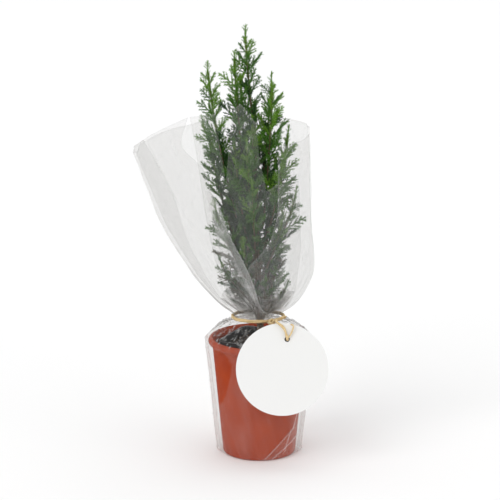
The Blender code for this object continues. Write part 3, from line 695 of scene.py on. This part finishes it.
# clear film
film = {
    "thick": 0.00012,  # in metres, for the modifier
    "step": 1.0,  # from one layer to the next
    "apart": 0.3,
    "foot": 88.35,
    "columns": 3.0,
    "columnTurn": 0.035,
    "rows": 80,
    "rowPower": 1.3,
    "edgeWhite": 1.6,
    # the crease settings and the crease lines below paint highlight lines along the film's creases
    "creaseHighlight": 3.5,
    "creaseHighlightWide": 0.8,
    "veil": 0.03,
    "veilGrazing": 0.16,
    "pass": (0.949, 0.948, 0.946),
    "creaseHighlightLines": (
        ((20.2, 157.1), (17.1, 146.8), (15.9, 138.5), (15.3, 128.8), (12.2, 116.6), (10.4, 105.5)),
        (
            (-69.9, 207.8),
            (-64.5, 197.1),
            (-57.8, 181.3),
            (-51.1, 169.8),
            (-45.6, 159.6),
            (-30, 132),
            (-16, 106),
        ),
        ((-57.5, 214.0), (-48.4, 197.1), (-41.7, 184.4), (-36.2, 176.8), (-25, 153), (-12, 125), (-3, 106)),
    ),
}
wrapLeft = [(row[0], row[1]) for row in wrapRows]
wrapRight = [(row[0], row[2]) for row in wrapRows]
sheets = {  # left edge, right edge, top edge, side, layer; edges as height and x, tops as x and height
    "film_back": (
        wrapLeft,
        wrapRight,
        ((-76.0, 195), (-58, 205), (-20, 213), (14, 214), (30.4, 212)),
        1,
        0.5,
    ),
    "film_middle": (
        ((88, -11), (107, -20), (147, -31), (195, -38), (232, -44)),
        ((88, 10), (107, 22), (147, 26), (195, 24), (232, 22)),
        (
            (-43.0, 224.0),
            (-27.4, 226.0),
            (-20.7, 182.0),
            (-16.3, 228.4),
            (-12.0, 232.2),
            (-2.2, 219.7),
            (0.3, 195.8),
            (4.0, 176.8),
            (10.8, 180.0),
            (24.5, 181.0),
        ),
        -1,
        0,
    ),
    "film_right_flap": (
        ((88, -6), (110, -9), (127.5, -7), (138, 1.6), (145, 5.7), (160, 10.2), (171, 10.8), (205, 10.7)),
        wrapRight,
        ((10.7, 204.0), (30.5, 209.0)),
        -1,
        1,
    ),
    "film_left_flap": (
        wrapLeft,
        (
            (88, 8.2),
            (92, 6.4),
            (99.7, 1.0),
            (116.6, -3.5),
            (132.2, -9.9),
            (150.7, -18.6),
            (170.5, -25.1),
            (177.5, -29.4),
            (192, -34.0),
            (205.6, -46.7),
            (224.2, -43.2),
        ),
        ((-76.0, 195.0), (-69.9, 207.8), (-43.3, 224.1)),
        -1,
        2,
    ),
}


def ridge(x):  # a wave of straight slopes: 0 in its valleys, 1 on its crests
    return abs(2 * (x - math.floor(x)) - 1)


def line(x, sharp):  # 1 on each crest and valley of the ridge wave, falling off fast
    edge = abs(ridge(x) - 0.5) * 2
    return max(0.0, (edge - 1 + sharp) / sharp)


folding = {  # depths in millimetres, rates in ridges for each radian round the wrap
    "from": 88,
    "over": 60,
    "gathers": 1.1,
    "gatherRate": 5.5,
    "folds": 0.9,
    "foldRate": 4.2,
    "foldLean": 0.006,
    "crinkles": 0.45,
    "slantRate": 1.3,
    "slantLean": 0.021,
    # painted highlight lines along the folds, gathers and slanting lines, and a random cloudy haze
    "foldHighlight": 1.5,
    "gatherHighlight": 2.2,
    "slantHighlight": 1.4,
    "cloudWhite": 0.8,
}


def crumple(turn, height, side, phase=0.0):  # outward shift in millimetres, and how white the film is, with painted highlight lines along its folds, gathers and slanting lines
    up = max(0.0, height - folding["from"]) / folding["over"]
    turn += phase
    warp = noise.noise(Vector((turn * 1.7, height * 0.02, side * 5.0)))
    fan = (turn * folding["foldRate"] + 1.1 * warp + side) / 2 - height * folding["foldLean"]
    gather = turn * folding["gatherRate"] + 0.8 * warp
    slant = turn * folding["slantRate"] + height * folding["slantLean"] + 0.5 * warp
    cloud = noise.noise(Vector((turn * 5, height * 0.05, 9 + side)))
    shift = folding["gathers"] * math.exp(-2.2 * up) * (ridge(gather) - 0.5) * min(1.0, up * 6)
    shift += folding["folds"] * min(1.0, up * 1.5) * (ridge(fan) - 0.5)
    shift += folding["crinkles"] * noise.noise(Vector((turn * 6, height * 0.09, 3 + side)))
    # painted highlights on the fold, gather and slant lines, and random cloudy haze
    white = folding["foldHighlight"] * line(fan, 0.05) * min(1.0, up * 2)
    white += folding["gatherHighlight"] * math.exp(-1.6 * up) * line(gather, 0.2)
    white += folding["slantHighlight"] * line(slant, 0.035) + folding["cloudWhite"] * max(0.0, cloud)
    return shift, white


def filmFinish():
    clear = Finish("film", (0.9, 0.9, 0.89), 0.16, Specular_IOR_Level=0.6)
    # the film's haze with its painted highlights, read from the piece, sets how much of the lit white layer
    # shows
    hazeAndPaintedHighlight = clear.node("ShaderNodeAttribute", {"attribute_name": "hazeAndPaintedHighlight"}, {}, 2)
    facing = clear.node("ShaderNodeLayerWeight", {}, {"Blend": 0.35}, 1)
    share = hazeAndPaintedHighlight * (facing**3.0 * film["veilGrazing"] + film["veil"])
    clear.relief(clear.grain(160, 2), 0.12, 0.0006)
    through = clear.node("ShaderNodeBsdfTransparent", {}, {"Color": film["pass"]})
    glossy = Wire(clear, clear.shader.outputs[0])
    mixed = clear.node("ShaderNodeMixShader", {}, {0: share, 1: through, 2: glossy})
    clear.feed(clear.tree.nodes["Material Output"].inputs["Surface"], mixed)
    return clear.material


def wrapTurn(x, height):
    left, right, _ = between(wrapRows, height)
    return math.acos(min(1.0, max(-1.0, (2 * x - left - right) / (right - left))))


def wrapPoint(turn, height, side, layer, phase=0.0):
    left, right, depth = between(wrapRows, height)
    shift, white = crumple(turn, height, side, phase)
    shift *= 1 + 0.8 * abs(phase)
    offset = layer * film["step"] + shift
    x = (left + right) / 2 + ((right - left) / 2 + offset) * math.cos(turn)
    return Vector((x, side * ((depth + offset) * math.sin(turn) + film["apart"]), height)), white


def shellPiece(bm, name, material, stands):
    bmesh.ops.remove_doubles(bm, verts=bm.verts, dist=0.001)
    piece = finishPiece(meshFrom(bm), name, material, stands)
    shell = piece.modifiers.new("Film", "SOLIDIFY")
    shell.thickness = film["thick"]
    shell.offset = 0


def filmSheet(name, leftEdge, rightEdge, top, side, layer, material, stands=(), extra=1.0, phase=0.0):
    columns = []  # along the top edge: the turn round the wrap, and the height
    for (x0, z0), (x1, z1) in zip(top, top[1:]):
        turn0, turn1 = wrapTurn(x0, z0), wrapTurn(x1, z1)
        steps = max(math.hypot(x1 - x0, z1 - z0) / film["columns"], abs(turn1 - turn0) / film["columnTurn"])
        steps = max(2, round(steps))
        for k in range(steps + ((x1, z1) == top[-1])):
            columns.append((turn0 + (turn1 - turn0) * k / steps, z0 + (z1 - z0) * k / steps))
    rows = film["rows"]
    bm = bmesh.new()
    hazeAndPaintedHighlight = bm.verts.layers.float.new("hazeAndPaintedHighlight")
    bmesh.ops.create_grid(bm, x_segments=len(columns) - 1, y_segments=rows - 1, size=1)
    for v in bm.verts:
        turn, z = columns[round((v.co.x + 1) / 2 * (len(columns) - 1))]
        low, high = [wrapTurn(between(edge, z)[0], z) for edge in (leftEdge, rightEdge)]
        share = min(1.0, max(0.0, (turn - low) / (high - low)))
        height = film["foot"] + (z - film["foot"]) * ((v.co.y + 1) / 2) ** film["rowPower"]
        low, high = [wrapTurn(between(edge, height)[0], height) for edge in (leftEdge, rightEdge)]
        edge = film["edgeWhite"] if share < 0.004 or share > 0.996 or v.co.y > 0.999 else 0
        v.co, white = wrapPoint(low + (high - low) * share, height, side, layer, phase)
        # painted highlight lines along the creases of the front sheets
        if side < 0 and not phase:
            place = Vector((v.co.x, height))
            for highlightLine in film["creaseHighlightLines"]:
                far = distanceTo(place, [Vector(p) for p in highlightLine])[0]
                white += film["creaseHighlight"] * max(0.0, 1 - far / film["creaseHighlightWide"])
        v[hazeAndPaintedHighlight] = extra * (0.35 + white if phase else 1 + white + edge)
    shellPiece(bm, name, material, stands)


sleeve = {
    "foot": 0.6,
    "footSide": 26.9,
    "rimSide": 34.2,
    "tie": 87.6,
    "swell": 0.9,
    "wallShare": 0.72,
    "around": 260,
    "up": 120,
    "windowStart": 3.45,
    "windowEdge": ((33, 3.58), (40, 3.85), (47, 3.97), (58, 4.1), (66, 4.13), (73, 3.98)),
    "windowWhite": 0.02,
    "wallWhite": 0.75,
    "foldTop": 36,
    "foldEdge": ((0, 2), (20, 21.9), (36, 26)),
    # lines on the front where painted highlights run along creases
    "creaseHighlightLines": (((2.9, 1), (21.9, 20)), ((16, 5), (20, 18)), ((8, 1), (23.5, 13)), ((21.9, 20), (25, 33))),
}


def sleevePoint(angle, up):  # up runs 0 to 1 from the foot over the rim to the tie
    left, right, depth = between(wrapRows, sleeve["tie"])
    wall = sleeve["wallShare"]
    if up < wall:
        t = up / wall
        z = sleeve["foot"] + (pot["height"] - sleeve["foot"]) * t
        lipFoot = pot["height"] - 2 * pot["lipRound"]
        radius = pot["base"] + (pot["lip"] - pot["base"]) * min(1.0, z / lipFoot) + 0.6
        side = sleeve["footSide"] + (sleeve["rimSide"] - sleeve["footSide"]) * t
    else:
        t = 0.0
        z = pot["height"] + 0.5
        radius, side = pot["lip"] + 0.4, sleeve["rimSide"]
    tangent = math.acos(min(1.0, radius / side))
    fromSide = math.acos(min(1.0, abs(math.cos(angle))))
    reach = radius / math.cos(max(0.0, tangent - fromSide))
    point = Vector((reach * math.cos(angle), reach * math.sin(angle), z))
    if up >= wall:
        t = (up - wall) / (1 - wall)
        neck = Vector(((left + right) / 2 + (right - left) / 2 * math.cos(angle), depth * math.sin(angle), 0))
        point = point.lerp(neck, t)
        point.z = z + (sleeve["tie"] - z) * (t + sleeve["swell"] * t * (1 - t) * math.cos(angle) ** 2)
        spread = angle * 3.6 + 0.9 * noise.noise(Vector((angle, up * 6, 2)))
        crush = 1.6 * noise.noise(Vector((point.x * 0.09, point.y * 0.09, 1.5)))
        crush += 0.7 * noise.noise(Vector((point.x * 0.2, point.y * 0.2, 8)))
        point.z += (2.0 * (ridge(spread) - 0.4) + 1.3 * (ridge(crush * 1.5) - 0.4)) * math.sin(math.pi * t)
        # painted glints: bright lines on the crests of the crushed film over the rim, and bright specks
        white = 0.5 + 8 * line(spread, 0.1) + 7 * line(crush * 1.5, 0.09)
        white += 6 * max(0.0, noise.noise(Vector((point.x * 0.3, point.y * 0.3, 4))) - 0.25)
        return point, white
    out = Vector((math.cos(angle), math.sin(angle), 0))
    slant = angle * 1.9 + t * 1.7
    fold = noise.noise(Vector((angle * 2.4, t * 3, 6)))
    point += out * (0.35 * (1 + fold) + 0.35 * line(slant, 0.12))
    low, high = sleeve["windowEdge"][0][0], sleeve["windowEdge"][-1][0]
    inWindow = low < z < high and sleeve["windowStart"] < angle < between(sleeve["windowEdge"], z)[0]
    white = sleeve["windowWhite"] if inWindow else sleeve["wallWhite"] + 1.1 * max(0.0, fold)
    # painted highlight lines along the slanting folds, none in the window
    white += 1.8 * line(slant, 0.05) * (0 if inWindow else 1)
    if math.sin(angle) < 0:
        white += 0.9 if z < sleeve["foldTop"] and point.x > between(sleeve["foldEdge"], z)[0] else 0
        # painted highlight lines along the creases of the lower front fold
        for a, b in sleeve["creaseHighlightLines"]:
            white += 5 * max(0.0, 1 - distanceTo(Vector((point.x, z)), [Vector(a), Vector(b)])[0] / 0.6)
    if fromSide < 0.2:  # the pressed side folds, whitened by a painted highlight
        white += 2.5
    return point, white


def makeSleeve(material):
    bm = bmesh.new()
    hazeAndPaintedHighlight = bm.verts.layers.float.new("hazeAndPaintedHighlight")
    bmesh.ops.create_grid(bm, x_segments=sleeve["around"], y_segments=sleeve["up"], size=1)
    for v in bm.verts:
        v.co, v[hazeAndPaintedHighlight] = sleevePoint((v.co.x + 1) * math.pi, (v.co.y + 1) / 2)
    shellPiece(bm, "film_sleeve_soft", material, ["film_sleeve"])


gathers = {"count": 6, "layer": -1.4, "step": 0.9, "extra": 2.4, "phase": 0.7}  # film bunched in the neck


def makeFilm():
    material = filmFinish()
    for name, (leftEdge, rightEdge, top, side, layer) in sheets.items():
        filmSheet(name + "_soft", leftEdge, rightEdge, top, side, layer, material, [name])
    flapEdge = sheets["film_left_flap"][1]
    hemInner = (
        (89, 5),
        (94.5, 1.6),
        (110.7, -6.5),
        (129.2, -20.4),
        (138.5, -23.9),
        (146.8, -25.8),
        (163.6, -29.0),
        (176.8, -32.5),
        (190, -35),
    )
    filmSheet("film_hem", hemInner, flapEdge, ((-33.6, 178.0), (-29.4, 177.5)), -1, 2.4, material, (), 1.3)
    gussetInner = ((88, -9), (107, -24), (130, -36), (147, -44), (175, -52), (195, -62), (208, -69.9))
    gussetTop = ((-76.0, 195.0), (-69.9, 207.8))
    filmSheet("film_gusset", wrapLeft, gussetInner, gussetTop, -1, 2.5, material, (), 1.2)
    for n in range(gathers["count"]):
        side = -1 if n % 2 else 1
        top = ((-26, 100 + 2 * n), (-11, 108 - n), (4, 99 + 2 * n), (24, 104))
        layer = gathers["layer"] - gathers["step"] * n
        phase = gathers["phase"] + gathers["step"] * n
        name = f"film_gather_{n + 1}"
        filmSheet(name, wrapLeft, wrapRight, top, side, layer, material, (), gathers["extra"], phase)
    makeSleeve(material)


makeFilm()
print("film made")

# raffia tie and card tag
raffia = {
    "z": 89.4,
    "radius": 0.95,
    "knotSide": 7.7,
    "strand": 0.66,
    "around": 90,
    "dark": (0.6, 0.4, 0.17),
    "light": (0.82, 0.66, 0.38),
    "seed": 3,
}
tag = {
    "radius": 28.9,
    "thick": 0.6,
    "lean": math.radians(16.5),
    "side": 14.2,
    "z": 65.4,
    "hole": (3.1, 18.8),
    "gap": 0.35,
    "dark": (0.79, 0.79, 0.78),
    "light": (0.82, 0.82, 0.81),
}


def wavy(points, radius, phase, turns, rng):  # a strand wound loosely round a route
    made = []
    for k, p in enumerate(points):
        ahead = (points[min(k + 1, len(points) - 1)] - points[max(k - 1, 0)]).normalized()
        side = ahead.cross(Vector((0, 0.3, 1))).normalized()
        other = ahead.cross(side)
        a = phase + turns * 2 * math.pi * k / len(points)
        made.append(p + radius * (side * math.cos(a) + other * math.sin(a)) * rng.uniform(0.85, 1.1))
    return made


def smoothRoute(knots, count):
    made = []
    for k in range(len(knots) - 1):
        a, b = knots[k], knots[k + 1]
        before, after = knots[max(k - 1, 0)], knots[min(k + 2, len(knots) - 1)]
        for n in range(count):
            t = n / count
            made.append(bezier(a, a + (b - before) / 6, b - (after - a) / 6, b, t))
    return made + [knots[-1]]


def makeRaffia():
    rng = random.Random(raffia["seed"])
    left, right, depth = between(wrapRows, raffia["z"] + raffia["radius"])
    room = 2 * film["step"] + 0.2 + 0.7 + raffia["radius"]
    centre, half, deep = (left + right) / 2, (right - left) / 2 + room, depth + room
    turns = [2 * math.pi * k / raffia["around"] for k in range(raffia["around"])]
    ring = [Vector((centre + half * math.cos(a), deep * math.sin(a), raffia["z"])) for a in turns]
    paths = []
    thin = raffia["strand"]
    for n in range(3):
        a = n * 2.1
        loop = []
        for p, t in zip(ring, turns):
            p = p + Vector((0, 0, 0.55 * math.sin(3 * t + a)))
            loop.append(p + Vector((math.cos(t), math.sin(t), 0)) * 0.45 * math.cos(3 * t + a))
        paths.append((loop, [thin * rng.uniform(0.85, 1.1) for _ in loop], True))
    frontY = -deep * math.sqrt(1 - ((raffia["knotSide"] - centre) / half) ** 2)
    knot = Vector((raffia["knotSide"], frontY - raffia["radius"] - tag["gap"] - 1.9, raffia["z"]))
    for n in range(4):  # the knot: turns of strand laid over each other
        tilt = Matrix.Rotation(0.75 * n - 0.9, 3, "Y") @ Matrix.Rotation(0.5 * n, 3, "X")
        coil = [Vector((1.75 * math.cos(t), 1.25 * math.sin(t), 0.5 * math.sin(2 * t))) for t in turns[::4]]
        paths.append(([knot + tilt @ p for p in coil], [thin * 1.1] * len(coil), True))
    up = Vector((0, math.sin(tag["lean"]), math.cos(tag["lean"])))
    out = Vector((0, -math.cos(tag["lean"]), math.sin(tag["lean"])))
    across = Vector((1, 0, 0))
    rest = -(pot["lip"] + 0.7 + 0.4 + tag["thick"] / 2 / math.cos(tag["lean"]))
    mid = Vector((tag["side"], rest - (pot["height"] - tag["z"]) * math.tan(tag["lean"]), tag["z"]))
    hole = mid + across * tag["hole"][0] + up * tag["hole"][1]
    edge = mid - across * 3.5 + up * math.sqrt(tag["radius"] ** 2 - 3.5**2)
    start = knot + Vector((1.7, -1.4, 0.95))
    clear = out * (tag["thick"] / 2 + tag["gap"] + 0.86)
    route = [
        start,
        start.lerp(edge + up * 1.65, 0.5) + up * 0.6,
        edge + up * 1.65 - out * 0.9,
        edge + up * 0.97 + clear,
        hole + up * 7 - across * 2.2 + clear,
        hole + up * 2.4 - across * 0.4 + clear,
        hole + out * 1.6 + up * 0.2,
        hole - out * 1.6,
        hole + up * 3.2 - out * 2.6,
        hole + up * 8 - out * 2.4 - across * 1.4,
    ]
    tail = smoothRoute(route, 6)
    for n in range(2):
        strand = wavy(tail, 0.32, n * math.pi, 3, rng)
        paths.append((strand, [thin * 0.85] * len(strand), False))
    second = [
        start + Vector((0.8, 0.2, 0.2)),
        start + Vector((3.6, -4.2, -1.6)),
        hole + up * 9 + across * 3.4 + clear,
        hole + up * 4 + across * 2.6 + clear,
        hole + up * 0.9 + across * 0.5 + clear,
        hole + out * 0.2,
    ]
    strand = smoothRoute(second, 8)
    paths.append((strand, [thin * 0.8] * len(strand), False))
    for n in range(3):  # the short end, frayed into its strands
        end = knot + Vector((2.2, 0, 1.4))
        last = (6.4 + 0.4 * n, -0.4 - 0.3 * n, 1.3 + 0.75 * n)
        steps = (2.2, -0.4, 0.9), (4.4, -0.6, 1.6 + 0.35 * n), last
        strand = smoothRoute([end] + [end + Vector(step) for step in steps], 6)
        paths.append((strand, [thin * (1 - 0.5 * k / len(strand)) for k in range(len(strand))], False))
    straw = Finish("raffia", (0.7, 0.52, 0.27), 0.7)
    streak = straw.steps(straw.grain(1300, 4, 0.6), 0.35, 0.66)
    straw.colour(straw.blend(streak, raffia["dark"], raffia["light"]))
    straw.relief(straw.grain(3800, 3), 0.6, 0.0002)
    stands = ["raffia_loop", "raffia_knot", "raffia_tail", "raffia_end"]
    finishPiece(strands(paths, 2), "raffia_tie", straw.material, stands)


def makeTag():
    card = Finish("card", (0.78, 0.78, 0.77), 0.8)
    fibres = card.grain(2200, 4)
    card.colour(card.blend(fibres, tag["dark"], tag["light"]))
    card.relief(fibres, 0.15, 0.0001)
    dress("tag", card)


makeRaffia()
makeTag()
print("tie and tag made")

# floor and soft light
studio = {
    "floor": 6.0,
    "world": 0.62,
    "aim": (0, 0, 0.12),
    "lamps": {  # strength, place, width in degrees
        "key": (1.0, (-0.75, -0.85, 1.0), 38),
        "fill": (0.45, (1.0, -0.7, 0.6), 50),
        "top": (0.75, (0.1, 0.25, 1.3), 60),
    },
}


def makeStudio():
    bm = bmesh.new()
    bmesh.ops.create_grid(bm, x_segments=1, y_segments=1, size=studio["floor"])
    floor = bpy.data.objects.new("floor", meshFrom(bm))
    scene.collection.objects.link(floor)
    floor.data.materials.append(Finish("floor", (0.93, 0.93, 0.93), 0.9).material)
    world = bpy.data.worlds.new("studio")
    world.use_nodes = True
    sky = world.node_tree.nodes["Background"]
    sky.inputs["Color"].default_value = (1, 1, 1, 1)
    sky.inputs["Strength"].default_value = studio["world"]
    scene.world = world
    for name, (strength, place, size) in studio["lamps"].items():
        lamp = bpy.data.lights.new(name, "SUN")
        lamp.energy = strength
        lamp.angle = math.radians(size)
        holder = bpy.data.objects.new(name, lamp)
        holder.location = place
        holder.rotation_euler = (Vector(studio["aim"]) - Vector(place)).to_track_quat("-Z", "Y").to_euler()
        scene.collection.objects.link(holder)


makeStudio()
scene.cycles.transparent_max_bounces = 32  # many layers of film lie over each other
print("studio made")
